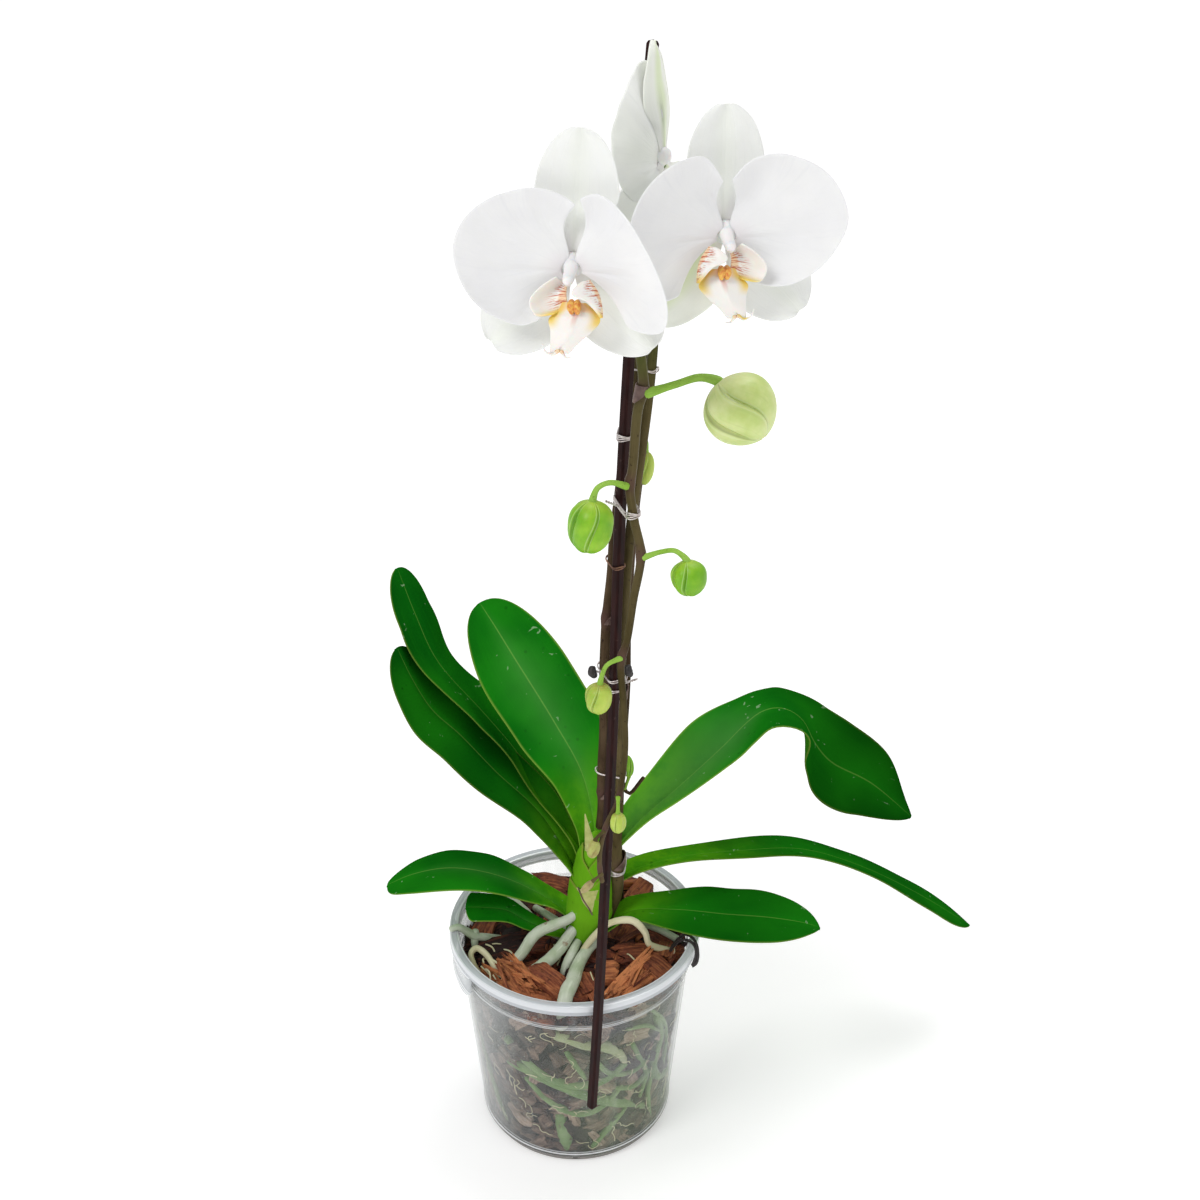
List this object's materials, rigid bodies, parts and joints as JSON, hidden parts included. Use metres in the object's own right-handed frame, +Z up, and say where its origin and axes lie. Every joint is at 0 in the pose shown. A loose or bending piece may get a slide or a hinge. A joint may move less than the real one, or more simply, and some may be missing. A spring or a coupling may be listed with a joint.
{
  "type": "potted orchid",
  "caption": "White moth orchid in a clear nursery pot of bark, with aerial roots, arching leaves, staked flower spikes, open blooms and buds.",
  "frame": {"origin": "centre of the pot's underside", "axes": "+Z up along the pot's axis; +Y from the front of the pot, where the long stake leans on the rim, to its back; +X to the right seen from the front"},
  "size_m": [0.324, 0.1946, 0.5583],
  "materials": {
    "clear_plastic": "clear, slightly hazy, smooth",
    "bark": "rough fibrous chips",
    "root": "matte, silvery, scarred",
    "wet_root": "damp, satin",
    "leaf_base": "waxy, satin",
    "leaf": "waxy, glossy",
    "spike": "waxy, satin",
    "stake": "satin",
    "bud": "waxy, satin",
    "petal": "soft matte, faintly veined",
    "lip": "soft satin",
    "tie_wire": "dull, bent by hand",
    "cord": "matte"
  },
  "bodies": {
    "root": {"pot": "clear_plastic", "bark": "bark", "root_1": "root", "root_2": "root", "root_3": "root", "root_4": "root", "root_5": "root", "root_6": "root", "root_7": "root", "root_8": "root", "wall_root_1": "wet_root", "wall_root_2": "wet_root", "wall_root_3": "wet_root", "wall_root_4": "wet_root", "crown": "leaf_base", "leaf_1": "leaf", "leaf_2": "leaf", "leaf_3": "leaf", "leaf_4": "leaf", "leaf_5": "leaf", "leaf_6": "leaf", "leaf_7": "leaf", "leaf_8": "leaf", "spike_1": "spike", "spike_2": "spike", "stake_1": "stake", "stake_2": "stake", "bud_1": "bud", "bud_2": "bud", "bud_3": "bud", "bud_4": "bud", "bud_5": "bud", "bud_6": "bud", "bud_7": "bud", "bud_8": "bud", "bud_9": "bud", "flower_1_tepals": "petal", "flower_2_tepals": "petal", "flower_3_tepals": "petal", "flower_1_lip": "lip", "flower_2_lip": "lip", "flower_3_lip": "lip", "tie_1": "tie_wire", "tie_2": "tie_wire", "tie_3": "tie_wire", "tie_4": "tie_wire", "tie_5": "tie_wire", "tie_6": "tie_wire", "tie_7": "tie_wire", "tie_8": "tie_wire", "rim_cord": "cord"}
  },
  "joints": []
}
